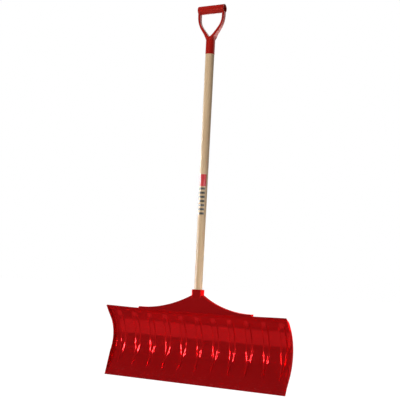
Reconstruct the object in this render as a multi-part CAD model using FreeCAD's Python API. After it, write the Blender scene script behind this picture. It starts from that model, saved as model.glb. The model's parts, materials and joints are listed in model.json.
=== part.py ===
"""Wide snow pusher: a ribbed plastic scoop blade on a round wooden handle with a moulded D grip.

The model is drawn round the handle's axis: X runs along the blade, Y points backwards and Z points
up the handle. At the end everything is moved so that the centre of its base is the origin.
"""
import FreeCAD, Part
import math
import os

# Blade. A corner is (y, z, radius of the arc that rounds it); y is measured from the handle's axis.
BLADE_WIDTH = 762.0
WALL = 3.0
LIP_Y = -32.5
TOP_EDGE = (-48.0, 268.7)
SCOOP_CORNERS = [(79.3, 149.2, 142.0), (-15.7, 256.3, 38.0)]
RIM_CORNERS = [(-1.5, 93.0, 45.0), (36.9, 165.3, 115.0)]
BELOW_FLOOR = 8.0           # the profile is drawn this far below the lip, then cut off flat
BEYOND = 200.0              # cutting shapes reach this far, past everything they cut

# Ribs: raised on the front of the scoop, hollow behind
RIB_COUNT = 11
RIB_PITCH = 69.0
RIB_HEIGHT = 4.5
RIB_WIDTH = 25.0
RIB_FLANK = 4.5
RIB_TIP_Z = 35.0
RIB_TIP_WIDTH = 10.0
RIB_TAPER_Z = 130.0
RIB_TOP_Z = 254.0
RIB_HOLLOW_TOP_Z = 243.0
RIB_TOP_WIDTH = 18.0
RIB_FADE = 28.0             # a rib rises to its full height over this length at each end
RIB_END_HEIGHT = -0.5       # its ends start just inside the sheet
RIB_STATIONS = 25

# Yoke: the low hollow gusset that stands on the blade's top
YOKE_CORNERS = [(20.0, 333.0, 0.0), (121.0, 277.2, 400.0), (239.0, 276.6, 0.0)]
YOKE_FOOT_Z = 248.0
YOKE_FRONT = [(-48.0, 248.0), (-12.0, 334.0)]
YOKE_BACK = [(-26.0, 248.0), (17.0, 334.0)]
YOKE_WEBS = (62.0, 112.0, 162.0, 208.0)

# Socket for the handle, and the fins below it
SOCKET_WIDTH = 40.0
SOCKET_DEPTH = 36.0
SOCKET_CORNER = 6.0
SOCKET_TOP_Z = 354.5
SOCKET_FLOOR_Z = 266.0
SOCKET_BASE_Z = 232.0
FIN_CENTRES = (-18.0, 0.0, 18.0)
FIN_BACK = [(18.0, 300.0), (18.0, 262.0), (44.0, 172.0)]
FIN_FRONT = [(-20.0, 300.0), (-20.0, 262.0), (20.0, 172.0)]

# Handle
HANDLE_GAP = 0.15
HANDLE_FOOT_Z = 267.0
HANDLE_FOOT_RADIUS = 14.6
HANDLE_LOW_RADIUS = 15.65
HANDLE_HIGH_RADIUS = 17.45
TENON_RADIUS = 15.2
TENON_LENGTH = 42.0
CHAMFER = 2.0

# D grip
FERRULE_BOTTOM_Z = 1275.0
FERRULE_TOP_Z = 1332.0
FERRULE_RADIUS = 18.3
BAR_Z = 1456.3
BAR_RADIUS = 16.9
BAR_BORE_RADIUS = 13.0
BAR_HALF_LENGTH = 56.5
ARM_DEPTH = 22.0
ARM_EDGE_RADIUS = 3.0
ARM_OUTER = [(56.5, 1456.3, 0.0), (56.5, 1398.5, 108.0), (18.4, 1344.4, 28.0), (14.5, 1322.0, 0.0)]
ARM_INNER = [(47.7, 1456.3, 0.0), (47.7, 1402.4, 65.0), (0.0, 1339.4, 7.0), (-47.7, 1402.4, 65.0),
             (-47.7, 1456.3, 0.0)]
CROTCH_SIDE = [(18.3, 1332.0, 0.0), (18.3, 1340.0, 20.0), (11.0, 1358.0, 20.0), (11.0, 1368.0, 0.0)]
CROTCH_TOP_RADIUS = 36.0

# Screws, both driven from behind
SCREW_RADIUS = 2.1
SCREW_LENGTH = 22.0
SCREW_HEAD_RADIUS = 4.6
SCREW_HEAD_HEIGHT = 2.6
SCREW_HEAD_ROUND = 1.4
SCREW_SLOT_WIDTH = 1.1
SCREW_SLOT_LENGTH = 5.0
SCREW_SLOT_DEPTH = 1.2
SOCKET_SCREW_Z = 312.0
GRIP_SCREW_Z = 1297.0

# Decal on the handle
DECAL_THICKNESS = 0.3
BAND_LOW_Z = 751.5
BAND_HEIGHT = 46.5
BAND_HALF_ANGLE = 64.0
STRIPE_COUNT = 7
STRIPE_LOW_Z = 642.0
STRIPE_PITCH = 16.0
STRIPE_HEIGHT = 8.5
STRIPE_HALF_ANGLE = 52.0

V = FreeCAD.Vector


def flat(point):
    """A path's point as a vector; its first two numbers are its place in the plane."""
    return V(point[0], point[1], 0)


def parallel(corners, distance):
    """The path that runs DISTANCE to the left of CORNERS."""
    moved = []
    for i, corner in enumerate(corners):
        ahead = flat(corners[min(i + 1, len(corners) - 1)]) - flat(corner)
        behind = flat(corner) - flat(corners[max(i - 1, 0)])
        if i == 0:
            behind = ahead
        if i == len(corners) - 1:
            ahead = behind
        ahead = V(ahead).normalize()
        behind = V(behind).normalize()
        left = V(-ahead.y - behind.y, ahead.x + behind.x, 0)
        place = flat(corner) + left * (2.0 * distance / left.dot(left))
        turns_left = behind.x * ahead.y - behind.y * ahead.x > 0
        radius = corner[2] - distance if turns_left else corner[2] + distance
        moved.append((place.x, place.y, radius if corner[2] else 0.0))
    return moved


def path(corners):
    """Straight runs and tangent arcs along CORNERS, each a list of two or three points."""
    runs = []
    last = flat(corners[0])
    for before, corner, after in zip(corners, corners[1:], corners[2:]):
        here = flat(corner)
        if corner[2]:
            back = (flat(before) - here).normalize()
            onward = (flat(after) - here).normalize()
            half = back.getAngle(onward) / 2.0
            start = here + back * (corner[2] / math.tan(half))
            end = here + onward * (corner[2] / math.tan(half))
            middle = here + (back + onward).normalize() * (corner[2] / math.sin(half) - corner[2])
            runs.append([last, start])
            runs.append([start, middle, end])
            last = end
        else:
            runs.append([last, here])
            last = here
    runs.append([last, flat(corners[-1])])
    return runs


def edges(runs, place):
    """Edges for RUNS, with PLACE turning each point of the plane into a point in space."""
    made = []
    for run in runs:
        points = [place(p) for p in run]
        if points[0].distanceToPoint(points[-1]) > 0.001:
            curve = Part.Arc(*points) if len(points) == 3 else Part.LineSegment(*points)
            made.append(curve.toShape())
    return made


def face_between(one, other, place):
    """Face between two open paths, closed by a straight line at each end."""
    ends = [[flat(one[0]), flat(other[0])], [flat(one[-1]), flat(other[-1])]]
    outline = edges(path(one) + path(other) + ends, place)
    return Part.Face(Part.Wire(Part.__sortEdges__(outline)))


def side_face(one, other, x):
    return face_between(one, other, lambda p: V(x, p.x, p.y))


def front_face(one, other, y):
    return face_between(one, other, lambda p: V(p.x, y, p.y))


def box(x0, x1, y0, y1, z0, z1):
    return Part.makeBox(x1 - x0, y1 - y0, z1 - z0, V(x0, y0, z0))


def sharp(points):
    """Corners with no rounding."""
    return [(p[0], p[1], 0.0) for p in points]


def spin(points, degrees=360.0, start=0.0):
    """Solid of revolution about the handle's axis from (radius, z) points."""
    wire = Part.makePolygon([V(r, 0, z) for r, z in points + points[:1]])
    solid = Part.Face(wire).revolve(V(0, 0, 0), V(0, 0, 1), degrees)
    solid.rotate(V(0, 0, 0), V(0, 0, 1), start)
    return solid


def extended(start, first):
    """Where the line from FIRST through START crosses the level BELOW_FLOOR."""
    reach = BELOW_FLOOR / (first[1] - start[1])
    return (start[0] - reach * (first[0] - start[0]), start[1] - BELOW_FLOOR, 0.0)


def scoop_path():
    """Front surface of the scoop, from below the lip up and round to the top edge."""
    lip = extended((LIP_Y, 0.0), SCOOP_CORNERS[0])
    return [lip] + SCOOP_CORNERS + [(*TOP_EDGE, 0.0)]


def rim_path():
    """Front edge of an end wall, from below the lip to the blade's top corner."""
    lip = extended((LIP_Y, 0.0), RIM_CORNERS[0])
    return [lip] + RIM_CORNERS + [(*TOP_EDGE, 0.0)]


def blend(z, low, high, from_value, to_value):
    """Straight-line change between two heights, held beyond them."""
    share = min(max((z - low) / (high - low), 0.0), 1.0)
    return from_value + share * (to_value - from_value)


def rib_stations(top_z):
    """Points and forward directions along the scoop between a rib's tip and its top."""
    wire = edges(path(scoop_path()), lambda p: V(0, p.x, p.y))
    found = []
    for i in range(RIB_STATIONS):
        z = RIB_TIP_Z + (top_z - RIB_TIP_Z) * i / (RIB_STATIONS - 1)
        level = Part.LineSegment(V(0, -BEYOND, z), V(0, BEYOND, z)).toShape()
        for edge in wire:
            gap, pairs, info = edge.distToShape(level)
            if gap < 0.001:
                spot = pairs[0][0]
                along = edge.tangentAt(edge.Curve.parameter(spot))
                if along.z < 0:
                    along = -along
                found.append((spot, V(0, -along.z, along.y)))
                break
    return found


def rib(x, top_z, inset, sunk):
    """Tapering rib at X. INSET makes it smaller all round; SUNK is how far its foot lies behind."""
    sections = []
    for spot, forward in rib_stations(top_z):
        width = blend(spot.z, RIB_TIP_Z, RIB_TAPER_Z, RIB_TIP_WIDTH, RIB_WIDTH)
        width = min(width, blend(spot.z, top_z - 2 * RIB_FADE, top_z, RIB_WIDTH, RIB_TOP_WIDTH))
        height = blend(spot.z, RIB_TIP_Z, RIB_TIP_Z + RIB_FADE, RIB_END_HEIGHT, RIB_HEIGHT)
        height = min(height, blend(spot.z, top_z - RIB_FADE, top_z, RIB_HEIGHT, RIB_END_HEIGHT))
        slope = RIB_FLANK / RIB_HEIGHT
        half_top = width / 2.0 - slope * height - inset
        half_foot = half_top + slope * (height - inset + sunk)
        top = spot + forward * (height - inset)
        foot = spot - forward * sunk
        section = [foot - V(half_foot, 0, 0), top - V(half_top, 0, 0),
                   top + V(half_top, 0, 0), foot + V(half_foot, 0, 0)]
        shifted = [p + V(x, 0, 0) for p in section]
        sections.append(Part.makePolygon(shifted + shifted[:1]))
    return Part.makeLoft(sections, True, False)


def scoop():
    """The curved sheet with its end walls."""
    front = scoop_path()
    back = parallel(front, -WALL)
    half = BLADE_WIDTH / 2.0
    sheet = side_face(front, back, -half).extrude(V(BLADE_WIDTH, 0, 0))
    walls = [side_face(rim_path(), back, x).extrude(V(WALL, 0, 0)) for x in (-half, half - WALL)]
    return sheet.multiFuse(walls)


def in_front_of_scoop():
    """Everything forward of the scoop and its middle rib, for trimming what stands behind them."""
    front = scoop_path()
    reach = sharp([(-BEYOND, front[0][1]), (-BEYOND, TOP_EDGE[1])])
    space = side_face(front, reach, -BLADE_WIDTH / 2.0).extrude(V(BLADE_WIDTH, 0, 0))
    return space.cut(rib(0.0, RIB_TOP_Z, 0.0, WALL))


def yoke_outline(inset):
    """Front view of the yoke above its foot, INSET from its edge."""
    right = parallel(YOKE_CORNERS, -inset)
    right[0] = (YOKE_CORNERS[0][0], YOKE_CORNERS[0][1] - inset, 0.0)
    right[-1] = (YOKE_CORNERS[-1][0] - inset, YOKE_CORNERS[-1][1] - inset, 0.0)
    left = [(-u, v, r) for u, v, r in reversed(right)]
    foot = sharp([(left[0][0], YOKE_FOOT_Z), (right[-1][0], YOKE_FOOT_Z)])
    return front_face(left + right, foot, -BEYOND).extrude(V(0, 2.0 * BEYOND, 0))


def yoke():
    """Front skin and top rim of the gusset, with upright webs behind."""
    half = YOKE_CORNERS[-1][0]
    body = side_face(sharp(YOKE_FRONT), sharp(YOKE_BACK), -half).extrude(V(2.0 * half, 0, 0))
    body = body.common(yoke_outline(0.0))
    lean = math.hypot(YOKE_FRONT[1][0] - YOKE_FRONT[0][0], YOKE_FRONT[1][1] - YOKE_FRONT[0][1])
    skin = WALL * lean / (YOKE_FRONT[1][1] - YOKE_FRONT[0][1])
    behind_skin = sharp([(y + skin, z) for y, z in YOKE_FRONT])
    core = side_face(behind_skin, sharp([(BEYOND, z) for y, z in YOKE_FRONT]), -half)
    core = core.extrude(V(2.0 * half, 0, 0)).common(yoke_outline(WALL))
    webs = [box(s * x - WALL / 2, s * x + WALL / 2, -BEYOND, BEYOND, YOKE_FOOT_Z, YOKE_CORNERS[0][1])
            for x in YOKE_WEBS for s in (-1, 1)]
    webs = [body.common(web) for web in webs]
    return body.cut(core).multiFuse(webs)


def socket_outer():
    """Rounded upright box that holds the handle."""
    x = SOCKET_WIDTH / 2.0
    y = SOCKET_DEPTH / 2.0
    block = box(-x, x, -y, y, SOCKET_BASE_Z, SOCKET_TOP_Z)
    upright = [e for e in block.Edges if abs(e.tangentAt(e.FirstParameter).z) > 0.99]
    return block.makeFillet(SOCKET_CORNER, upright)


def socket_cavity():
    """Bore for the handle, and the space cored out from below its floor."""
    bore = spin([(0.0, SOCKET_FLOOR_Z), (HANDLE_FOOT_RADIUS + HANDLE_GAP, SOCKET_FLOOR_Z),
                 (HANDLE_LOW_RADIUS + HANDLE_GAP, SOCKET_TOP_Z), (0.0, SOCKET_TOP_Z)])
    core = box(-SOCKET_WIDTH / 2 + WALL + 1, SOCKET_WIDTH / 2 - WALL - 1, -SOCKET_DEPTH / 2 + WALL,
               SOCKET_DEPTH, SOCKET_BASE_Z, SOCKET_FLOOR_Z - WALL)
    return bore, core


def fins():
    """Three upright fins that carry the socket's load down the back of the scoop."""
    fin = side_face(sharp(FIN_BACK), sharp(FIN_FRONT), -WALL / 2.0).extrude(V(WALL, 0, 0))
    return [fin.translated(V(x, 0, 0)) for x in FIN_CENTRES]


def screw_hole(z, radius):
    """Hole along Y from behind, at height Z."""
    return Part.makeCylinder(radius, BEYOND, V(0, 0, z), V(0, 1, 0))


def make_blade():
    blade = scoop()
    places = [(i - (RIB_COUNT - 1) / 2.0) * RIB_PITCH for i in range(RIB_COUNT)]
    blade = blade.multiFuse([rib(x, RIB_TOP_Z, 0.0, WALL / 2.0) for x in places])
    blade = blade.cut([rib(x, RIB_HOLLOW_TOP_Z, WALL, WALL + 1.0) for x in places])
    bore, core = socket_cavity()
    holder = yoke().fuse(socket_outer()).cut(core).multiFuse(fins())
    holder = holder.cut(in_front_of_scoop())
    blade = blade.fuse(holder).cut([bore, screw_hole(SOCKET_SCREW_Z, SCREW_RADIUS + HANDLE_GAP)])
    floor = box(-BLADE_WIDTH, BLADE_WIDTH, -BEYOND, BEYOND, -BEYOND, 0)
    return blade.cut(floor).removeSplitter()


def handle_radius(z):
    """The handle thickens evenly from the socket to the grip."""
    return blend(z, SOCKET_TOP_Z, FERRULE_BOTTOM_Z, HANDLE_LOW_RADIUS, HANDLE_HIGH_RADIUS)


def make_handle():
    """One turned pole, tapered to fit the socket and with a tenon for the ferrule."""
    top = FERRULE_BOTTOM_Z + TENON_LENGTH
    pole = spin([(0.0, HANDLE_FOOT_Z), (HANDLE_FOOT_RADIUS - CHAMFER, HANDLE_FOOT_Z),
                 (HANDLE_FOOT_RADIUS, HANDLE_FOOT_Z + CHAMFER), (HANDLE_LOW_RADIUS, SOCKET_TOP_Z),
                 (HANDLE_HIGH_RADIUS, FERRULE_BOTTOM_Z - HANDLE_GAP),
                 (TENON_RADIUS, FERRULE_BOTTOM_Z - HANDLE_GAP), (TENON_RADIUS, top - CHAMFER),
                 (TENON_RADIUS - CHAMFER, top), (0.0, top)])
    return pole.cut([screw_hole(z, SCREW_RADIUS + HANDLE_GAP / 2) for z in (SOCKET_SCREW_Z, GRIP_SCREW_Z)])


def arms():
    """Two arms in one flat loop, open at the top, with rounded edges."""
    left = [(-u, v, r) for u, v, r in reversed(ARM_OUTER)]
    outside = path(ARM_OUTER + left)
    inside = path(ARM_INNER)
    ends = [[flat(ARM_OUTER[0]), flat(ARM_INNER[0])], [flat(left[-1]), flat(ARM_INNER[-1])]]
    outline = edges(outside + inside + ends, lambda p: V(p.x, -ARM_DEPTH / 2.0, p.y))
    plate = Part.Face(Part.Wire(Part.__sortEdges__(outline))).extrude(V(0, ARM_DEPTH, 0))
    rims = [e for e in plate.Edges if e.BoundBox.YLength < 0.001 and e.BoundBox.ZMin < ARM_OUTER[0][1] - 0.001
            and e.BoundBox.ZLength > 0.001]
    return plate.makeFillet(ARM_EDGE_RADIUS, rims)


def crotch():
    """Foot of the arms: it starts as round as the ferrule and flattens into them."""
    top = CROTCH_SIDE[-1][1]
    cone = spin([(0.0, FERRULE_TOP_Z), (FERRULE_RADIUS, FERRULE_TOP_Z), (CROTCH_TOP_RADIUS, top), (0.0, top)])
    right = ARM_OUTER[:-1] + [(FERRULE_RADIUS, FERRULE_TOP_Z, 0.0)]
    front = front_face(right, [(-u, v, r) for u, v, r in right], -BEYOND).extrude(V(0, 2 * BEYOND, 0))
    gap = front_face(ARM_INNER, sharp([ARM_INNER[0], ARM_INNER[-1]]), -BEYOND).extrude(V(0, 2 * BEYOND, 0))
    behind = [(-u, v, r) for u, v, r in CROTCH_SIDE]
    side = side_face(CROTCH_SIDE, behind, -BEYOND).extrude(V(2 * BEYOND, 0, 0))
    return cone.common(side).common(front.cut(gap))


def make_d_grip():
    """Ferrule, two arms that spread from it, and a hollow cross bar open at both ends."""
    ferrule = Part.makeCylinder(FERRULE_RADIUS, FERRULE_TOP_Z - FERRULE_BOTTOM_Z, V(0, 0, FERRULE_BOTTOM_Z))
    start = V(-BAR_HALF_LENGTH, 0, BAR_Z)
    bar = Part.makeCylinder(BAR_RADIUS, 2 * BAR_HALF_LENGTH, start, V(1, 0, 0))
    bore = Part.makeCylinder(BAR_BORE_RADIUS, 2 * BAR_HALF_LENGTH, start, V(1, 0, 0))
    tenon = Part.makeCylinder(TENON_RADIUS + HANDLE_GAP, TENON_LENGTH + HANDLE_GAP, V(0, 0, FERRULE_BOTTOM_Z))
    body = ferrule.multiFuse([crotch(), arms(), bar])
    return body.cut([bore, tenon, screw_hole(GRIP_SCREW_Z, SCREW_RADIUS + HANDLE_GAP)]).removeSplitter()


def make_screw(back_y, z):
    """Pan head wood screw driven forward, with its head on the surface at BACK_Y."""
    shank = Part.makeCylinder(SCREW_RADIUS, SCREW_LENGTH, V(0, back_y, z), V(0, -1, 0))
    head = Part.makeCylinder(SCREW_HEAD_RADIUS, SCREW_HEAD_HEIGHT, V(0, back_y, z), V(0, 1, 0))
    rim = [e for e in head.Edges if e.BoundBox.YLength < 0.001 and e.BoundBox.YMin > back_y + 1.0]
    head = head.makeFillet(SCREW_HEAD_ROUND, rim)
    outer = back_y + SCREW_HEAD_HEIGHT
    long = SCREW_SLOT_LENGTH / 2.0
    thin = SCREW_SLOT_WIDTH / 2.0
    slots = [box(-a, a, outer - SCREW_SLOT_DEPTH, BEYOND, z - b, z + b)
             for a, b in ((long, thin), (thin, long))]
    return shank.fuse(head).cut(slots).removeSplitter()


def decal_patch(low, height, half_angle):
    """Thin curved patch on the front of the handle."""
    high = low + height
    points = [(handle_radius(low), low), (handle_radius(low) + DECAL_THICKNESS, low),
              (handle_radius(high) + DECAL_THICKNESS, high), (handle_radius(high), high)]
    return spin(points, 2.0 * half_angle, -90.0 - half_angle)


def make_stripes():
    """Plain black stripes under the red band."""
    return Part.makeCompound([decal_patch(STRIPE_LOW_Z + i * STRIPE_PITCH, STRIPE_HEIGHT, STRIPE_HALF_ANGLE)
                              for i in range(STRIPE_COUNT)])


def main():
    parts = {
        "blade": make_blade(),
        "handle": make_handle(),
        "d_grip": make_d_grip(),
        "socket_screw": make_screw(SOCKET_DEPTH / 2.0, SOCKET_SCREW_Z),
        "grip_screw": make_screw(FERRULE_RADIUS, GRIP_SCREW_Z),
        "red_band": decal_patch(BAND_LOW_Z, BAND_HEIGHT, BAND_HALF_ANGLE),
        "black_stripes": make_stripes(),
    }
    whole = Part.makeCompound(list(parts.values())).optimalBoundingBox(False)
    base = V(-whole.Center.x, -whole.Center.y, -whole.ZMin)
    os.makedirs("parts", exist_ok=True)
    for name, shape in parts.items():
        shape.translate(base)
        shape.exportStep("parts/" + name + ".step")
        print(name, shape.isValid(), len(shape.Solids), round(shape.Volume / 1000.0, 2), "cm3",
              shape.optimalBoundingBox(False))
    print("handle axis at y =", round(base.y, 3))


main()
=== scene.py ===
"""Snow pusher: moulded red scoop with end walls, ribs and a yoke, a wooden handle and a moulded D grip.

Lengths are millimetres measured from the handle's axis and the floor, and become metres when a mesh is made.
X runs along the blade, Y points backwards and Z up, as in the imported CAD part.
"""
import json
import math
import bpy
import numpy as np
from mathutils import Matrix, Vector

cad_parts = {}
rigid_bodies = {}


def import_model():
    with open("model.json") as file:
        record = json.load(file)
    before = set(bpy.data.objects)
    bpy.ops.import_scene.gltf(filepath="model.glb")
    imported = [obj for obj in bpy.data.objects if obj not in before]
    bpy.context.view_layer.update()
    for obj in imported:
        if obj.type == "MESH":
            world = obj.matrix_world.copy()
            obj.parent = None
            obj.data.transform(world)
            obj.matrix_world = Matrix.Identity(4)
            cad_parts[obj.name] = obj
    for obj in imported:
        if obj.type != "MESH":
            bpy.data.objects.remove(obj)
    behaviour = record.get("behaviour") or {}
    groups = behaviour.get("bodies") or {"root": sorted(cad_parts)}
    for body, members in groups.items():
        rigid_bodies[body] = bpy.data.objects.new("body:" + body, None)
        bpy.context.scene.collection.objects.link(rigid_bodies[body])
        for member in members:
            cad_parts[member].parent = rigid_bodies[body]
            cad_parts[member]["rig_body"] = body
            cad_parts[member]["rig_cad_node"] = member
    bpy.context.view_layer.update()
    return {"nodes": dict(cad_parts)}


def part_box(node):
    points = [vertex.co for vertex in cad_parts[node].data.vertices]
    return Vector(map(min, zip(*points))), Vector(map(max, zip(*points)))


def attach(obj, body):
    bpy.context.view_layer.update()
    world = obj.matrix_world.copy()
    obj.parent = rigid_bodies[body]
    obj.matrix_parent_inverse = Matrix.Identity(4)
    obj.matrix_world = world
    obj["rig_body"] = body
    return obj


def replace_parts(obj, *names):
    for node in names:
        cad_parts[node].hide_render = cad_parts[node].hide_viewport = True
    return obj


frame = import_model()
NODES = frame["nodes"]


def corners_mm(node):
    """A CAD node's lowest and highest corners in millimetres from the handle's axis."""
    low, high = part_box(node)
    return (low - AXIS) * 1000.0, (high - AXIS) * 1000.0


AXIS = Vector((0.0, sum(corner.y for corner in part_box("handle")) / 2.0, 0.0))
BLADE_HIGH = corners_mm("blade")[1]
HANDLE_LOW, HANDLE_HIGH = corners_mm("handle")
GRIP_LOW = corners_mm("d_grip")[0]

# Scoop. Corners are (y, z, radius of the arc that rounds them), as in the CAD part. Names ending in POINTS,
# RINGS, STEP, STATION or SEGMENTS set how finely a mesh is divided.
WALL = 3.0
HALF_WIDTH = BLADE_HIGH.x
LIP = (-32.5, 0.0)
TOP_EDGE = (-48.0, 268.7)
SCOOP_CORNERS = [(79.3, 149.2, 142.0), (-15.7, 256.3, 38.0)]
RIM_CORNERS = [(-1.5, 93.0, 45.0), (36.9, 165.3, 115.0)]
ROW_STEP = 2.4
ROW_LEAN_SPAN = 1.5         # the sheet's lean at a row is taken this far to each side of it
WALL_FILLET = 5.0
WALL_FILLET_SHARE = 0.6     # at most, of an end wall's depth
WALL_DEPTH_LEAST = 0.5
WALL_POINTS = 8
PANEL_POINTS = 6
EDGE_ROUNDING = 0.9
BEVEL_ROOM = 0.02           # the rounded edges would otherwise swell past the CAD box
CORNER_RISE = 2.4           # the top edge curls up this much at its ends
CORNER_RUN = 140.0
CORNER_FROM_Z = 235.0
LIP_BLEND = 14.0            # height over which the sheet's thickness turns level at the lip

# Ribs
RIB_COUNT = 11
RIB_PITCH = 69.0
RIB_HEIGHT = 4.7
RIB_FLANK = 5.8
RIB_HALF_WIDTH = 14.0
RIB_TAPER_Z = 137.0
RIB_TIP_Z = 38.0
RIB_TIP_HALF_WIDTH = 3.0
RIB_TIP_RUN = 16.0
RIB_TOP_Z = 259.0
RIB_TOP_HALF_WIDTH = 9.5
RIB_TOP_RUN = 26.0
RIB_CORNER = 0.35           # share of a flank that each of its rounded edges takes
RIB_CREST = 0.15            # least share of the half width that stays level
RIB_FLANK_END = 1.04        # the flank's last point, in half widths
RIB_FLANK_POINTS = 9
RIB_CREST_POINTS = 3

# Yoke and socket
YOKE_CORNERS = [(20.0, 333.0, 0.0), (121.0, 277.2, 400.0), (239.0, 276.6, 0.0)]
YOKE_FRONT = [(-48.0, 248.0), (-12.0, 334.0)]
YOKE_BACK = [(-26.0, 248.0), (17.0, 334.0)]
YOKE_FOOT_Z = 267.0
YOKE_ROUNDING = 3.2
YOKE_ROUNDING_SHARE = 0.4   # at most, of the yoke's height
YOKE_ROUNDING_FROM = 0.3    # angle in radians where the rounding leaves the sloping front
YOKE_INSIDE_ROUNDING = 0.6  # at least
YOKE_WALL = WALL + 0.2
YOKE_BACK_DROP = 1.2
YOKE_BACK_BEVEL = 0.8
YOKE_EDGE_ROUNDING = 0.7
YOKE_STATION = 4.0
WEBS = (62.0, 112.0, 162.0, 208.0)
WEB_THICKNESS = 2.8
WEB_INSET = 1.0
WEB_BACK_FOOT_Z = 260.0
WEB_FOOT_Y = (-22.0, -27.0, -32.0, -36.0)
PLATE_ROUNDING = 0.5
SOCKET_SIZE = (40.0, 36.0)
SOCKET_CORNER = 6.0
SOCKET_BASE_Z = 232.0
SOCKET_FLOOR_Z = 266.0
SOCKET_TOP_Z = BLADE_HIGH.z
SOCKET_ROUNDING = 2.0
SOCKET_RINGS = 30
BORE_PLAY = 0.2
BORE_CHAMFER = 0.9
FIN_CENTRES = (-18.0, 0.0, 18.0)
FIN_BACK = [(14.0, 300.0), (18.0, 300.0), (18.0, 262.0), (44.0, 172.0)]
FIN_THICKNESS = 3.2
FIN_INTO_SOCKET = 4.0
FIN_FOOT_POINTS = 12

# Handle
HANDLE_LOW_RADIUS = 15.65
HANDLE_HIGH_RADIUS = HANDLE_HIGH.x
HANDLE_FOOT_RADIUS = 14.6
TENON_RADIUS = 15.2
HANDLE_CHAMFER = 2.0
HANDLE_GAP = 0.15           # between the end of the bare wood and the ferrule
HANDLE_SEGMENTS = 96
HANDLE_RINGS = 90

# Grip; lengths in metres
GRIP_WELD = 0.00002
GRIP_VOXEL = 0.0008
GRIP_SMOOTHING = 7
GRIP_SMOOTHING_FACTOR = 0.5

# Camera: its place, and its angles in degrees, are the ones that the photograph was taken from
CAMERA_PLACE = (1347.08, -2688.37, 428.41)
CAMERA_YAW = 26.81
CAMERA_PITCH = 5.141
CAMERA_ROLL = 2.88
CAMERA_LENS = 70.2
CAMERA_SENSOR = 36.0

# Studio, in metres. The plastic mirrors the floor as bright from FLOOR_BRIGHT_FROM to FLOOR_BRIGHT_TO and as
# dark beyond them. WALL_Z and WALL_GLOW are the heights and brightness of two cards that stand behind.
STUDIO = 12.0
WALL_Y = 3.0
WALL_Z = (0.0, 0.9, 5.0)
WALL_GLOW = (5.0, 0.8)
FLOOR_PAINT = 0.1
FLOOR_GLOW = 10.2
FLOOR_LIGHT = 0.15
FLOOR_BRIGHT_FROM = -0.33
FLOOR_BRIGHT_TO = -0.055
SHEET_LIFT = 0.0005         # between one floor sheet and the next
HOLLOW = (0.0, 0.0, 0.12)   # the scoop's deepest part, which the mirrored lamps face

# Lamps that are mirrored in the plastic and light nothing: name, azimuth from straight ahead towards +X,
# angle above a height, distance, that height, size, radiance and spread; angles in degrees
MIRRORED_LAMPS = [
    ("left_low_box", -66, -1.5, 1.3, 0.135, (0.36, 0.11), 140.0, 84.0),
    ("left_high_box", -66, 8.5, 2.4, 0.112, (0.62, 0.3), 44.0, 50.0),
    ("right_low_box", 60, -1.5, 1.3, 0.135, (0.2, 0.11), 70.0, 84.0),
    ("right_high_box", 60, 8.5, 2.4, 0.112, (0.36, 0.3), 25.0, 50.0),
    ("tip_box", -95, 33, 2.0, 0.06, (0.9, 0.5), 25.0, 50.0),
]

# Other lamps: name, place, aim, size, radiance, whether it is just mirrored, and spread in degrees
PLACED_LAMPS = [
    ("grip_box", (-0.75, -2.6, 0.5), (0.0, 0.0, 1.44), (1.6, 0.35), 0.08, True, 24.0),
    ("right_end_box", (3.2, 0.5, 0.35), (0.38, 0.0, 0.14), (0.8, 0.6), 1.2, False, 20.0),
    ("key", (-0.55, -3.2, 1.4), (0.0, 0.0, 0.7), (1.0, 1.8), 5.0, False, 180.0),
    ("front", (-0.3, -3.2, 0.9), (0.0, 0.0, 0.4), (4.0, 3.0), 0.8, False, 180.0),
    ("top", (-0.6, -0.6, 3.4), (0.0, 0.0, 0.3), (3.0, 3.0), 1.8, False, 180.0),
    ("back", (-1.5, 3.0, 1.8), (0.0, 0.0, 0.4), (3.0, 3.0), 1.4, False, 180.0),
]


# ---------------------------------------------------------------- mesh helpers

def add_mesh(name, points, faces, material, crease=35.0):
    """Adds one piece from millimetre points; edges sharper than CREASE degrees stay sharp."""
    places = np.asarray(points, float).reshape(-1, 3) / 1000.0 + np.array(AXIS)
    mesh = bpy.data.meshes.new(name)
    mesh.from_pydata(places.tolist(), [], [tuple(face) for face in faces])
    mesh.update()
    mesh.shade_smooth()
    mesh.set_sharp_from_angle(angle=math.radians(crease))
    piece = bpy.data.objects.new(name, mesh)
    bpy.context.scene.collection.objects.link(piece)
    mesh.materials.append(material)
    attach(piece, "root")
    return piece


def grid_faces(rows, columns, first=0, closed=False):
    """Quads over a grid of points; CLOSED joins the last column to the first."""
    faces = []
    for i in range(rows - 1):
        for j in range(columns if closed else columns - 1):
            a = first + i * columns + j
            b = first + i * columns + (j + 1) % columns
            faces.append((a, b, b + columns, a + columns))
    return faces


def tube(name, rings, material, crease=35.0):
    """Closed solid through rings of points, with a flat cap at each end."""
    rings = np.asarray(rings, float)
    count, size = rings.shape[:2]
    faces = grid_faces(count, size, closed=True)
    faces.append(tuple(range(size - 1, -1, -1)))
    faces.append(tuple(range((count - 1) * size, count * size)))
    return add_mesh(name, rings, faces, material, crease)


def bevel(piece, width, segments=2, angle=50.0):
    """Rounds a piece's sharp edges."""
    modifier = piece.modifiers.new("rounded edges", "BEVEL")
    modifier.width = width / 1000.0
    modifier.segments = segments
    modifier.limit_method = "ANGLE"
    modifier.angle_limit = math.radians(angle)
    modifier.use_clamp_overlap = True
    return piece


def smooth_step(value, low, high):
    """Eased change from 0 at LOW to 1 at HIGH."""
    share = np.clip((np.asarray(value, float) - low) / (high - low), 0.0, 1.0)
    return share * share * (3.0 - 2.0 * share)


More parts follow.
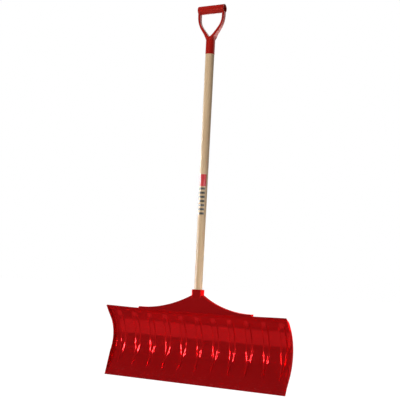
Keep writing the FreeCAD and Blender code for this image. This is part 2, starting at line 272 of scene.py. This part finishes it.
def sample_path(corners, step=0.25):
    """Points about STEP apart along straight runs joined by tangent arcs."""
    points = [np.array(corners[0][:2], float)]

    def run_to(target):
        start = points[-1]
        count = max(1, int(np.linalg.norm(target - start) / step))
        points.extend(start + (target - start) * (i + 1) / count for i in range(count))

    for before, corner, after in zip(corners, corners[1:], corners[2:]):
        here = np.array(corner[:2], float)
        back = np.array(before[:2], float) - here
        onward = np.array(after[:2], float) - here
        back /= np.linalg.norm(back)
        onward /= np.linalg.norm(onward)
        if len(corner) < 3 or not corner[2]:
            run_to(here)
            continue
        half = math.acos(float(back @ onward)) / 2.0
        reach = corner[2] / math.tan(half)
        bisector = (back + onward) / np.linalg.norm(back + onward)
        centre = here + bisector * corner[2] / math.sin(half)
        run_to(here + back * reach)
        start = points[-1] - centre
        end = here + onward * reach - centre
        turn = math.acos(float(start @ end) / corner[2] ** 2)
        side = math.copysign(1.0, start[0] * end[1] - start[1] * end[0])
        count = max(2, int(corner[2] * turn / step))
        for i in range(1, count + 1):
            angle = side * turn * i / count
            cos, sin = math.cos(angle), math.sin(angle)
            turned = [start[0] * cos - start[1] * sin, start[0] * sin + start[1] * cos]
            points.append(centre + np.array(turned))
    run_to(np.array(corners[-1][:2], float))
    return np.array(points)


# ---------------------------------------------------------------- blade

SCOOP_PATH = sample_path([LIP] + SCOOP_CORNERS + [TOP_EDGE])
RIM_PATH = sample_path([LIP] + RIM_CORNERS + [TOP_EDGE], 1.0)
UPPER = SCOOP_PATH[int(SCOOP_PATH[:, 0].argmax()):]
UPPER_RUN = np.gradient(UPPER, axis=0)
UPPER_RUN /= np.linalg.norm(UPPER_RUN, axis=1, keepdims=True)
SHEET_MIDDLE = UPPER + WALL / 2.0 * np.stack([UPPER_RUN[:, 1], -UPPER_RUN[:, 0]], axis=-1)


def sheet_z(y):
    """Height of the middle of the sheet's thickness at Y, above its deepest point."""
    return float(np.interp(-y, -SHEET_MIDDLE[:, 0], SHEET_MIDDLE[:, 1]))


def sheet_y(z):
    """Y of the middle of the sheet's thickness at height Z, above its deepest point."""
    return float(np.interp(z, SHEET_MIDDLE[:, 1], SHEET_MIDDLE[:, 0]))


def scoop_rows():
    """Places, upward runs and forward directions of the scoop's rows, from the lip to the top edge."""
    lengths = np.concatenate([[0.0], np.cumsum(np.linalg.norm(np.diff(SCOOP_PATH, axis=0), axis=1))])
    count = int(lengths[-1] / ROW_STEP)
    wanted = np.linspace(0.0, lengths[-1], count + 1)

    def at(length):
        return np.stack([np.interp(length, lengths, SCOOP_PATH[:, k]) for k in (0, 1)], axis=-1)

    along = at(np.minimum(wanted + ROW_LEAN_SPAN, lengths[-1])) - at(np.maximum(wanted - ROW_LEAN_SPAN, 0.0))
    along /= np.linalg.norm(along, axis=1, keepdims=True)
    return at(wanted), along, np.stack([-along[:, 1], along[:, 0]], axis=-1)


def wall_depth(place, forward):
    """How far an end wall stands forward of the scoop at PLACE."""
    start = RIM_PATH[:-1] - place
    step = RIM_PATH[1:] - RIM_PATH[:-1]
    across = forward[0] * step[:, 1] - forward[1] * step[:, 0]
    across[np.abs(across) < 1e-9] = 1e-9
    reach = (start[:, 0] * step[:, 1] - start[:, 1] * step[:, 0]) / across
    share = (start[:, 0] * forward[1] - start[:, 1] * forward[0]) / across
    hits = reach[(share > -0.01) & (share < 1.01) & (reach > 0.0)]
    return float(hits.min()) if len(hits) else 0.0


def rib_size(z):
    """Half width at the foot, and height, of a rib at height Z."""
    width = np.interp(z, [RIB_TIP_Z, RIB_TAPER_Z, RIB_TOP_Z - RIB_TOP_RUN, RIB_TOP_Z],
                      [RIB_TIP_HALF_WIDTH, RIB_HALF_WIDTH, RIB_HALF_WIDTH, RIB_TOP_HALF_WIDTH])
    height = RIB_HEIGHT * smooth_step(z, RIB_TIP_Z, RIB_TIP_Z + RIB_TIP_RUN)
    height = height * (1.0 - smooth_step(z, RIB_TOP_Z - RIB_TOP_RUN, RIB_TOP_Z))
    return float(width), float(height)


def rib_rise(offset, width, height):
    """How far the surface stands out at OFFSET from a rib's middle: a sloping flank with rounded edges."""
    slope = 1.0 / (1.0 - RIB_CORNER)
    share = np.clip((width - np.sqrt(offset * offset + 1.0)) / RIB_FLANK, 0.0, 1.0)
    low = slope * share * share / (2.0 * RIB_CORNER)
    middle = slope * (share - RIB_CORNER / 2.0)
    high = 1.0 - slope * (1.0 - share) ** 2 / (2.0 * RIB_CORNER)
    return height * np.where(share < RIB_CORNER, low, np.where(share < 1.0 - RIB_CORNER, middle, high))


def section(z, depth):
    """Front outline of a level cut through the blade: (x, distance forward) from wall rim to wall rim."""
    inside = HALF_WIDTH - WALL
    fillet = min(WALL_FILLET, WALL_FILLET_SHARE * depth)
    wall = [(-inside, depth + (fillet - depth) * i / WALL_POINTS) for i in range(WALL_POINTS)]
    curve = [(-inside + fillet * (1.0 - math.cos(a)), fillet * (1.0 - math.sin(a)))
             for a in np.linspace(0.0, math.pi / 2.0, WALL_POINTS)]
    width, height = rib_size(z)
    crest = max(width - RIB_FLANK, RIB_CREST * width)
    flank = [crest + (width * RIB_FLANK_END - crest) * i / RIB_FLANK_POINTS
             for i in range(RIB_FLANK_POINTS + 1)]
    half = [crest * i / RIB_CREST_POINTS for i in range(1, RIB_CREST_POINTS)] + flank
    offsets = np.array([-v for v in reversed(half)] + [0.0] + half)
    rise = rib_rise(offsets, width, height)
    sheet = []

    def panel(start, end):
        sheet.extend((start + (end - start) * k / PANEL_POINTS, 0.0) for k in range(1, PANEL_POINTS))

    last = -inside + fillet
    for i in range(RIB_COUNT):
        centre = (i - (RIB_COUNT - 1) / 2.0) * RIB_PITCH
        panel(last, centre + offsets[0])
        sheet.extend(zip(centre + offsets, rise))
        last = centre + offsets[-1]
    panel(last, inside - fillet)
    mirrored = [(-x, d) for x, d in reversed(wall + curve)]
    return np.array(wall + curve + sheet + mirrored)


def make_scoop(material):
    """Ribbed sheet and end walls in one skin of even thickness."""
    places, along, forward = scoop_rows()
    front, back = [], []
    for place, run, out in zip(places, along, forward):
        depth = max(wall_depth(place, out), WALL_DEPTH_LEAST)
        cut = section(place[1], depth)
        lean = np.gradient(cut, axis=0)
        lean /= np.linalg.norm(lean, axis=1, keepdims=True)
        behind = cut + WALL * np.stack([lean[:, 1], -lean[:, 0]], axis=-1)
        behind[:, 0] = np.clip(behind[:, 0], BEVEL_ROOM - HALF_WIDTH, HALF_WIDTH - BEVEL_ROOM)
        level = -out[1] / run[1] * max(0.0, 1.0 - place[1] / LIP_BLEND)
        for cuts, rows in ((cut, front), (behind, back)):
            lifted = out[None, :] + level * run[None, :] * (cuts[:, 1:] < 0.0)
            yz = place[None, :] + cuts[:, 1:] * lifted
            rows.append(np.column_stack([cuts[:, 0], yz]))
    front, back = np.array(front), np.array(back)
    for skin in (front, back):
        share = smooth_step(np.abs(skin[..., 0]), HALF_WIDTH - CORNER_RUN, HALF_WIDTH)
        skin[..., 2] += CORNER_RISE * share * smooth_step(skin[..., 2], CORNER_FROM_Z, TOP_EDGE[1])
        skin[..., 1] = np.maximum(skin[..., 1], TOP_EDGE[0] + BEVEL_ROOM)
        skin[..., 2] = np.maximum(skin[..., 2], 0.0)
    rows, columns = front.shape[:2]
    total = rows * columns
    faces = grid_faces(rows, columns)
    faces += [tuple(reversed(face)) for face in grid_faces(rows, columns, total)]
    for i in range(rows - 1):
        for j, turned in ((0, True), (columns - 1, False)):
            a, b = i * columns + j, (i + 1) * columns + j
            face = (a, b, b + total, a + total)
            faces.append(face[::-1] if turned else face)
    for j in range(columns - 1):
        for i, turned in ((0, False), (rows - 1, True)):
            a, b = i * columns + j, i * columns + j + 1
            face = (a, b, b + total, a + total)
            faces.append(face[::-1] if not turned else face)
    points = np.concatenate([front.reshape(-1, 3), back.reshape(-1, 3)])
    return bevel(add_mesh("blade_scoop", points, faces, material, 50.0), EDGE_ROUNDING)


def line_at(line, z):
    """Y on a straight line of two (y, z) points at height Z."""
    (y0, z0), (y1, z1) = line
    return y0 + (y1 - y0) * (z - z0) / (z1 - z0)


YOKE_OUTLINE = sample_path(YOKE_CORNERS, 1.0)


def yoke_top(x):
    """Height of the yoke's top rim at X."""
    return float(np.interp(abs(x), YOKE_OUTLINE[:, 0], YOKE_OUTLINE[:, 1]))


def yoke_ring(x):
    """Closed cut through the yoke at X: front skin, rounded top rim, and back inside."""
    top = yoke_top(x)
    radius = min(YOKE_ROUNDING, YOKE_ROUNDING_SHARE * (top - YOKE_FOOT_Z))
    inner = max(radius - WALL, YOKE_INSIDE_ROUNDING)
    front = line_at(YOKE_FRONT, top)
    back = line_at(YOKE_BACK, top)
    ceiling = top - WALL
    ring = [(line_at(YOKE_FRONT, z), z) for z in np.linspace(YOKE_FOOT_Z, top - radius, 6)]
    ring += [(front + radius * (1.0 - math.cos(a)), top - radius * (1.0 - math.sin(a)))
             for a in np.linspace(YOKE_ROUNDING_FROM, math.pi / 2.0, 5)]
    start, end = front + radius, back - YOKE_BACK_DROP
    ring += [(start + (end - start) * share, top) for share in (0.33, 0.67, 1.0)]
    ring += [(back, top - YOKE_BACK_DROP), (back, ceiling + YOKE_BACK_BEVEL),
             (back - YOKE_BACK_BEVEL, ceiling)]
    start = front + YOKE_WALL + inner
    ring += [(back + (start - back) * share, ceiling) for share in (0.35, 0.7, 1.0)]
    ring += [(front + YOKE_WALL, ceiling - inner)]
    ring += [(line_at(YOKE_FRONT, z) + YOKE_WALL, z)
             for z in np.linspace(ceiling - inner, YOKE_FOOT_Z - YOKE_BACK_BEVEL, 6)[1:]]
    return [(x, y, z) for y, z in ring]


def make_yoke(material):
    """The low triangular wall that stands on the visor and holds the socket."""
    half = YOKE_CORNERS[-1][0]
    stations = np.linspace(-half, half, int(2 * half / YOKE_STATION) + 1)
    piece = tube("blade_yoke", [yoke_ring(x) for x in stations], material)
    return bevel(piece, YOKE_EDGE_ROUNDING)


def prism(name, outline, x, thickness, material):
    """Plate of a (y, z) outline standing across X."""
    rings = [[(x + side * thickness / 2.0, y, z) for y, z in outline] for side in (-1, 1)]
    return bevel(tube(name, rings, material), PLATE_ROUNDING)


def make_webs(material):
    """Upright plates inside the yoke, and one at each end of it."""
    foot = YOKE_FOOT_Z
    places = (*WEBS, YOKE_CORNERS[-1][0] - WALL / 2.0)
    for i, x in enumerate(sorted([-v for v in places] + list(places))):
        top = yoke_top(x) - WEB_INSET
        outline = [(line_at(YOKE_FRONT, foot) + WALL / 2.0, foot),
                   (line_at(YOKE_FRONT, top) + WALL / 2.0, top),
                   (line_at(YOKE_BACK, top) - WEB_INSET, top),
                   (line_at(YOKE_BACK, WEB_BACK_FOOT_Z) - WEB_INSET, WEB_BACK_FOOT_Z)]
        outline += [(y, sheet_z(y)) for y in WEB_FOOT_Y]
        prism(f"blade_web_{i + 1}", outline, x, WEB_THICKNESS, material)


def make_fins(material):
    """Upright fins under the socket, standing on the back of the scoop."""
    foot = np.linspace(FIN_BACK[-1][1], SOCKET_BASE_Z + FIN_INTO_SOCKET, FIN_FOOT_POINTS)
    outline = FIN_BACK + [(sheet_y(z), z) for z in foot]
    for i, x in enumerate(FIN_CENTRES):
        prism(f"blade_fin_{i + 1}", outline, x, FIN_THICKNESS, material)


def rounded_box(half_x, half_y, radius, z, count=8):
    """Level outline of a rounded rectangle."""
    points = []
    for corner, (sx, sy) in enumerate(((1, 1), (-1, 1), (-1, -1), (1, -1))):
        for i in range(count + 1):
            angle = math.pi / 2.0 * (corner + i / count)
            points.append((sx * (half_x - radius) + radius * math.cos(angle),
                           sy * (half_y - radius) + radius * math.sin(angle), z))
    return points


def make_socket(material):
    """Rounded upright box with the handle's tapered bore."""
    half_x, half_y = SOCKET_SIZE[0] / 2.0, SOCKET_SIZE[1] / 2.0
    outline = rounded_box(half_x, half_y, SOCKET_CORNER, 0.0)
    feet = [max(SOCKET_BASE_Z, sheet_z(y)) for _, y, _ in outline]
    shoulder = SOCKET_TOP_Z - SOCKET_ROUNDING
    rings = [[(x, y, foot + (shoulder - foot) * share) for (x, y, _), foot in zip(outline, feet)]
             for share in np.linspace(0.0, 1.0, SOCKET_RINGS)]
    for angle in (30.0, 60.0, 90.0):
        inset = SOCKET_ROUNDING * (1.0 - math.cos(math.radians(angle)))
        drop = SOCKET_ROUNDING * (1.0 - math.sin(math.radians(angle)))
        rings.append(rounded_box(half_x - inset, half_y - inset, SOCKET_CORNER - inset, SOCKET_TOP_Z - drop))
    spread = [math.atan2(y, x) for x, y, _ in rings[0]]
    for radius, z in ((HANDLE_LOW_RADIUS + BORE_PLAY + BORE_CHAMFER, SOCKET_TOP_Z),
                      (HANDLE_LOW_RADIUS + BORE_PLAY, SOCKET_TOP_Z - BORE_CHAMFER),
                      (HANDLE_FOOT_RADIUS + BORE_PLAY, SOCKET_FLOOR_Z)):
        rings.append([(radius * math.cos(a), radius * math.sin(a), z) for a in spread])
    return tube("blade_socket", rings, material)


# ---------------------------------------------------------------- handle and grip

def lathe(name, outline, segments, material, crease=35.0):
    """Solid turned about the handle's axis from (radius, z) points."""
    turn = [2.0 * math.pi * i / segments for i in range(segments)]
    rings = [[(r * math.cos(a), r * math.sin(a), z) for a in turn] for r, z in outline]
    return tube(name, rings, material, crease)


def make_handle(material):
    """Tapered pole with its hidden ends."""
    top = GRIP_LOW.z - HANDLE_GAP
    shaft = [(HANDLE_LOW_RADIUS + (HANDLE_HIGH_RADIUS - HANDLE_LOW_RADIUS) * share,
              SOCKET_TOP_Z + (top - SOCKET_TOP_Z) * share) for share in np.linspace(0.0, 1.0, HANDLE_RINGS)]
    foot = [(HANDLE_FOOT_RADIUS - HANDLE_CHAMFER, HANDLE_LOW.z),
            (HANDLE_FOOT_RADIUS, HANDLE_LOW.z + HANDLE_CHAMFER)]
    tenon = [(TENON_RADIUS, top), (TENON_RADIUS, HANDLE_HIGH.z - HANDLE_CHAMFER),
             (TENON_RADIUS - HANDLE_CHAMFER, HANDLE_HIGH.z)]
    return lathe("handle_pole", foot + shaft + tenon, HANDLE_SEGMENTS, material)


def make_grip(material):
    """The moulded grip: its CAD shape with the joints between arms, bar and ferrule flowed together."""
    piece = NODES["d_grip"].copy()
    piece.data = NODES["d_grip"].data.copy()
    piece.name = "grip_moulding"
    piece.parent = None
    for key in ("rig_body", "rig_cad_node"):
        if key in piece:
            del piece[key]
    bpy.context.scene.collection.objects.link(piece)
    weld = piece.modifiers.new("joined", "WELD")
    weld.merge_threshold = GRIP_WELD
    remesh = piece.modifiers.new("even skin", "REMESH")
    remesh.mode = "VOXEL"
    remesh.voxel_size = GRIP_VOXEL
    smooth = piece.modifiers.new("flowed joints", "SMOOTH")
    smooth.factor = GRIP_SMOOTHING_FACTOR
    smooth.iterations = GRIP_SMOOTHING
    bpy.context.view_layer.update()
    shaped = bpy.data.meshes.new_from_object(piece.evaluated_get(bpy.context.evaluated_depsgraph_get()))
    piece.modifiers.clear()
    piece.data = shaped
    shaped.materials.clear()
    shaped.materials.append(material)
    shaped.shade_smooth()
    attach(piece, "root")
    return piece


# ---------------------------------------------------------------- materials

def new_material(name):
    """Material with just a Principled shader; returns it, its node tree and the shader."""
    material = bpy.data.materials.new(name)
    material.use_nodes = True
    tree = material.node_tree
    tree.nodes.clear()
    output = tree.nodes.new("ShaderNodeOutputMaterial")
    shader = tree.nodes.new("ShaderNodeBsdfPrincipled")
    tree.links.new(shader.outputs["BSDF"], output.inputs["Surface"])
    return material, tree, shader


def node(tree, kind, inputs=None, **settings):
    """Adds a node; INPUTS maps an input's name or number to a value or to another node's output."""
    made = tree.nodes.new(kind)
    for key, value in settings.items():
        setattr(made, key, value)
    for key, value in (inputs or {}).items():
        if isinstance(value, bpy.types.NodeSocket):
            tree.links.new(value, made.inputs[key])
        else:
            made.inputs[key].default_value = value
    return made


def stretched(tree, scale):
    """Object coordinates in metres times SCALE along each axis."""
    place = node(tree, "ShaderNodeTexCoord").outputs["Object"]
    return node(tree, "ShaderNodeMapping", {"Vector": place, "Scale": scale}).outputs["Vector"]


def noise(tree, scale, detail=3.0, roughness=0.5, distortion=0.0):
    """Noise from 0 to 1 with SCALE features a metre along each axis."""
    vector = stretched(tree, scale)
    made = node(tree, "ShaderNodeTexNoise", {"Vector": vector, "Scale": 1.0, "Detail": detail,
                                             "Roughness": roughness, "Distortion": distortion})
    return made.outputs["Fac"]


def remap(tree, value, low, high, to_low, to_high):
    """VALUE's range LOW to HIGH stretched to another range and held beyond it."""
    made = node(tree, "ShaderNodeMapRange", {"Value": value, "From Min": low, "From Max": high,
                                             "To Min": to_low, "To Max": to_high}, clamp=True)
    return made.outputs["Result"]


def blend(tree, share, first, second):
    """Mix of two colours, all SECOND where SHARE is 1."""
    made = node(tree, "ShaderNodeMix", data_type="RGBA")
    for key, value in ((0, share), (6, first), (7, second)):
        if isinstance(value, bpy.types.NodeSocket):
            tree.links.new(value, made.inputs[key])
        else:
            made.inputs[key].default_value = value if key == 0 else (*value, 1.0)
    return made.outputs[2]


def math_node(tree, operation, first, second):
    """One arithmetic step."""
    return node(tree, "ShaderNodeMath", {0: first, 1: second}, operation=operation).outputs[0]


def bump(tree, shader, layers):
    """Stacks bumps of (height, distance in metres) onto the shader's normal."""
    normal = None
    for height, distance in layers:
        inputs = {"Height": height, "Distance": distance, "Strength": 1.0}
        if normal is not None:
            inputs["Normal"] = normal
        normal = node(tree, "ShaderNodeBump", inputs).outputs["Normal"]
    tree.links.new(normal, shader.inputs["Normal"])


def moulded_plastic(name, colour, dark, tint, metallic, specular, roughness, grain, worn_below):
    """Glossy moulded plastic: cloudy colour, a faint orange peel, fine rubbing marks, and a duller lip.

    METALLIC makes reflections take the plastic's colour; GRAIN and WORN_BELOW are in metres.
    """
    material, tree, shader = new_material(name)
    cloud = noise(tree, (5.0, 5.0, 9.0), 4.0)
    base = blend(tree, remap(tree, cloud, 0.3, 0.7, 0.0, 1.0), dark, colour)
    rubs = noise(tree, (60.0, 60.0, 900.0), 2.0, 0.6, 0.3)
    marks = remap(tree, rubs, 0.63, 0.72, 0.0, 1.0)
    place = node(tree, "ShaderNodeTexCoord").outputs["Object"]
    height = node(tree, "ShaderNodeSeparateXYZ", {0: place}).outputs["Z"]
    lip = remap(tree, height, 0.0, worn_below, 1.0, 0.0)
    worn = math_node(tree, "MULTIPLY", marks, lip)
    pale = tuple(0.5 * c + 0.25 for c in colour)
    base = blend(tree, math_node(tree, "MULTIPLY", worn, 0.35), base, pale)
    tree.links.new(base, shader.inputs["Base Color"])
    smudge = noise(tree, (14.0, 14.0, 14.0), 5.0, 0.6)
    gloss = remap(tree, smudge, 0.35, 0.7, roughness, roughness + 0.07)
    gloss = math_node(tree, "ADD", gloss, math_node(tree, "MULTIPLY", worn, 0.25))
    tree.links.new(gloss, shader.inputs["Roughness"])
    shader.inputs["Metallic"].default_value = metallic
    shader.inputs["Specular IOR Level"].default_value = specular
    shader.inputs["Specular Tint"].default_value = (*tint, 1.0)
    peel = noise(tree, (260.0, 260.0, 260.0), 2.0)
    bump(tree, shader, [(peel, grain), (worn, 0.00004)])
    return material


def ash_wood():
    """Pale matt ash pole: growth rings, long streaks along the grain, paler patches, and pores."""
    material, tree, shader = new_material("handle_wood")
    rings = node(tree, "ShaderNodeTexWave", {"Vector": stretched(tree, (150.0, 95.0, 1.6)), "Scale": 1.0,
                                             "Distortion": 5.5, "Detail": 3.0, "Detail Scale": 0.6,
                                             "Detail Roughness": 0.6}, bands_direction="X").outputs["Fac"]
    streaks = noise(tree, (420.0, 420.0, 5.0), 4.0, 0.6)
    pores = noise(tree, (1500.0, 1500.0, 38.0), 2.0)
    patch = noise(tree, (18.0, 18.0, 3.0), 2.0)
    base = blend(tree, remap(tree, rings, 0.15, 0.95, 0.0, 1.0), (0.72, 0.52, 0.32), (0.62, 0.425, 0.24))
    base = blend(tree, remap(tree, streaks, 0.42, 0.75, 0.0, 0.55), base, (0.42, 0.26, 0.13))
    base = blend(tree, remap(tree, patch, 0.4, 0.7, 0.0, 0.45), base, (0.78, 0.58, 0.37))
    base = blend(tree, remap(tree, pores, 0.62, 0.74, 0.0, 0.6), base, (0.30, 0.17, 0.08))
    tree.links.new(base, shader.inputs["Base Color"])
    tree.links.new(remap(tree, streaks, 0.3, 0.7, 0.34, 0.5), shader.inputs["Roughness"])
    shader.inputs["Specular IOR Level"].default_value = 0.06
    bump(tree, shader, [(streaks, 0.00006), (pores, -0.00008)])
    return material


def printed_film(name, colour, roughness):
    """Thin printed film on the wood, a little scuffed, with the grain showing through as a faint relief."""
    material, tree, shader = new_material(name)
    scuff = noise(tree, (900.0, 900.0, 120.0), 4.0, 0.7)
    pale = tuple(0.7 * c + 0.12 for c in colour)
    base = blend(tree, remap(tree, scuff, 0.66, 0.76, 0.0, 0.5), colour, pale)
    tree.links.new(base, shader.inputs["Base Color"])
    tree.links.new(remap(tree, scuff, 0.3, 0.7, roughness, roughness + 0.12), shader.inputs["Roughness"])
    bump(tree, shader, [(noise(tree, (420.0, 420.0, 5.0), 4.0, 0.6), 0.00004)])
    return material


def plated_steel():
    """Zinc plated screw steel with turned marks."""
    material, tree, shader = new_material("screw_steel")
    marks = noise(tree, (3000.0, 300.0, 3000.0), 3.0, 0.6)
    tree.links.new(blend(tree, marks, (0.50, 0.49, 0.46), (0.72, 0.71, 0.68)), shader.inputs["Base Color"])
    tree.links.new(remap(tree, marks, 0.3, 0.7, 0.22, 0.42), shader.inputs["Roughness"])
    shader.inputs["Metallic"].default_value = 1.0
    bump(tree, shader, [(marks, 0.00002)])
    return material


def dress(name, material):
    """Gives a carried-over CAD node its material."""
    mesh = NODES[name].data
    mesh.materials.clear()
    mesh.materials.append(material)


# ---------------------------------------------------------------- stage

def stage_material(name, colour, strength=None):
    """Matt paint for the studio, glowing with STRENGTH where that is given."""
    material, _, shader = new_material(name)
    shader.inputs["Base Color"].default_value = (*colour, 1.0)
    shader.inputs["Roughness"].default_value = 0.9
    shader.inputs["Specular IOR Level"].default_value = 0.0
    if strength is not None:
        shader.inputs["Emission Color"].default_value = (*colour, 1.0)
        shader.inputs["Emission Strength"].default_value = strength
    return material


def stage_sheet(name, corners, material, seen):
    """Flat sheet of the studio: a "backdrop" for the camera, "mirrored" by the object, or "lighting" it."""
    mesh = bpy.data.meshes.new(name)
    mesh.from_pydata(corners, [], [(0, 1, 2, 3)])
    mesh.materials.append(material)
    sheet = bpy.data.objects.new(name, mesh)
    bpy.context.scene.collection.objects.link(sheet)
    sheet.visible_camera = seen == "backdrop"
    sheet.visible_glossy = seen != "lighting"
    sheet.visible_diffuse = seen == "lighting"
    sheet.visible_shadow = False


def floor_sheet(name, front, back, lift, material, seen):
    """Level sheet right across the studio from Y = FRONT to Y = BACK."""
    corners = [(-STUDIO, front, lift), (STUDIO, front, lift), (STUDIO, back, lift), (-STUDIO, back, lift)]
    stage_sheet(name, corners, material, seen)


def wall_sheet(name, low, high, material):
    """Upright sheet behind the shovel, mirrored only in faces that are seen at a glancing angle."""
    corners = [(-STUDIO, WALL_Y, low), (STUDIO, WALL_Y, low), (STUDIO, WALL_Y, high), (-STUDIO, WALL_Y, high)]
    stage_sheet(name, corners, material, "mirrored")


def soft_box(name, place, aim, size, radiance, mirrored, spread):
    """Rectangular lamp turned to AIM, which the object just mirrors or which just lights it."""
    lamp = bpy.data.lights.new(name, "AREA")
    lamp.shape = "RECTANGLE"
    lamp.size, lamp.size_y = size
    lamp.energy = radiance * math.pi * size[0] * size[1]
    lamp.spread = math.radians(spread)
    holder = bpy.data.objects.new(name, lamp)
    holder.location = place
    holder.rotation_euler = (Vector(aim) - Vector(place)).to_track_quat("-Z", "Y").to_euler()
    holder.visible_camera = False
    holder.visible_diffuse = not mirrored
    holder.visible_glossy = mirrored
    bpy.context.scene.collection.objects.link(holder)


def lamp_place(azimuth, rise, distance, height):
    """Place at an azimuth from straight ahead, towards +X, and RISE degrees above HEIGHT."""
    turn, lift = math.radians(azimuth), math.radians(rise)
    return (math.sin(turn) * distance, -math.cos(turn) * distance, height + math.tan(lift) * distance)


def make_studio():
    """White floor and surroundings, cards and lamps mirrored in the plastic, and soft boxes that light it."""
    white, black = (1.0, 1.0, 1.0), (0.0, 0.0, 0.0)
    dark = stage_material("dark_card", black)
    paint = stage_material("floor_paint", (FLOOR_PAINT,) * 3, FLOOR_GLOW)
    floor_sheet("floor", -STUDIO, STUDIO, 0.0, paint, "backdrop")
    glow = stage_material("floor_glow", white, FLOOR_LIGHT)
    floor_sheet("floor_light", -STUDIO, STUDIO, SHEET_LIFT, glow, "lighting")
    floor_sheet("floor_dark_front", -STUDIO, FLOOR_BRIGHT_FROM, 2 * SHEET_LIFT, dark, "mirrored")
    floor_sheet("floor_dark_back", FLOOR_BRIGHT_TO, STUDIO, 2 * SHEET_LIFT, dark, "mirrored")
    wall_sheet("wall_low", WALL_Z[0], WALL_Z[1], stage_material("bright_card", white, WALL_GLOW[0]))
    wall_sheet("wall_high", WALL_Z[1], WALL_Z[2], stage_material("dim_card", white, WALL_GLOW[1]))
    world = bpy.data.worlds.new("pale_room")
    world.use_nodes = True
    world.node_tree.nodes["Background"].inputs["Color"].default_value = (*white, 1.0)
    world.node_tree.nodes["Background"].inputs["Strength"].default_value = 1.0
    world.cycles_visibility.glossy = False
    world.cycles_visibility.diffuse = False
    bpy.context.scene.world = world
    for name, azimuth, rise, distance, height, size, radiance, spread in MIRRORED_LAMPS:
        soft_box(name, lamp_place(azimuth, rise, distance, height), HOLLOW, size, radiance, True, spread)
    for lamp in PLACED_LAMPS:
        soft_box(*lamp)


def make_camera():
    """The scene's camera, turned left of straight ahead by the yaw and up by the pitch."""
    yaw, pitch, roll = (math.radians(v) for v in (CAMERA_YAW, CAMERA_PITCH, CAMERA_ROLL))
    forward = Vector((-math.sin(yaw) * math.cos(pitch), math.cos(yaw) * math.cos(pitch), math.sin(pitch)))
    level = Vector((math.cos(yaw), math.sin(yaw), 0.0))
    raised = level.cross(forward)
    right = math.cos(roll) * level + math.sin(roll) * raised
    up = math.cos(roll) * raised - math.sin(roll) * level
    camera = bpy.data.objects.new("camera", bpy.data.cameras.new("camera"))
    camera.data.lens = CAMERA_LENS
    camera.data.sensor_width = CAMERA_SENSOR
    turned = Matrix((right, up, -forward)).transposed().to_4x4()
    camera.matrix_world = Matrix.Translation(Vector(CAMERA_PLACE) / 1000.0 + AXIS) @ turned
    bpy.context.scene.collection.objects.link(camera)
    bpy.context.scene.camera = camera


# ---------------------------------------------------------------- the shovel

blade_red = moulded_plastic("blade_red", colour=(0.44, 0.0085, 0.0100), dark=(0.41, 0.0076, 0.0090),
                            tint=(1.0, 0.02, 0.02), metallic=0.31, specular=0.0, roughness=0.06,
                            grain=0.00001, worn_below=0.05)
grip_red = moulded_plastic("grip_red", colour=(0.47, 0.009, 0.004), dark=(0.41, 0.007, 0.003),
                           tint=(1.0, 0.75, 0.62), metallic=0.1, specular=0.4, roughness=0.3, grain=0.00004,
                           worn_below=0.001)

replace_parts(make_scoop(blade_red), "blade")
make_yoke(blade_red)
make_webs(blade_red)
make_fins(blade_red)
make_socket(blade_red)
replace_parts(make_handle(ash_wood()), "handle")
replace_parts(make_grip(grip_red), "d_grip")
dress("red_band", printed_film("band_red", (0.62, 0.012, 0.02), 0.3))
dress("black_stripes", printed_film("stripe_black", (0.02, 0.014, 0.012), 0.35))
steel = plated_steel()
dress("socket_screw", steel)
dress("grip_screw", steel)

make_studio()
make_camera()
bpy.context.scene.view_settings.view_transform = "Standard"
bpy.context.view_layer.update()
